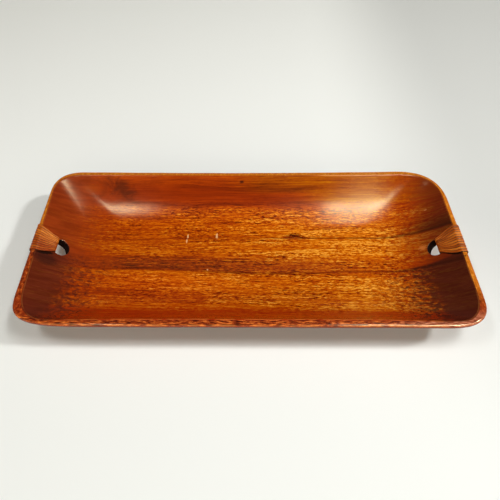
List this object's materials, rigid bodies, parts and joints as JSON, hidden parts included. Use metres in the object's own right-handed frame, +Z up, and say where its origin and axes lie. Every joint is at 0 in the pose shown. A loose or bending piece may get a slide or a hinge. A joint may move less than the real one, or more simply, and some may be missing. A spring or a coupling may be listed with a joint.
{
  "type": "carved wooden serving bowl",
  "caption": "Long shallow serving bowl carved from solid wood, with rounded corners, a flat narrow rim and a hole wound with split cane through each sloping end wall.",
  "frame": {"origin": "on the surface the bowl stands on, under the middle of its length and width", "axes": "+X along the length towards the right end, +Y towards the back long side, +Z up through the open top"},
  "size_m": [0.4528, 0.212, 0.0464],
  "materials": {
    "oiled_hardwood": "reddish brown hardwood with dark growth bands and a rippled figure, oiled to a soft gloss",
    "split_cane": "brown orange split cane, satin, finely fibrous along its length"
  },
  "bodies": {
    "root": {"tray_body": "oiled_hardwood", "cane_wrap_left": "split_cane", "cane_wrap_right": "split_cane"}
  },
  "joints": []
}
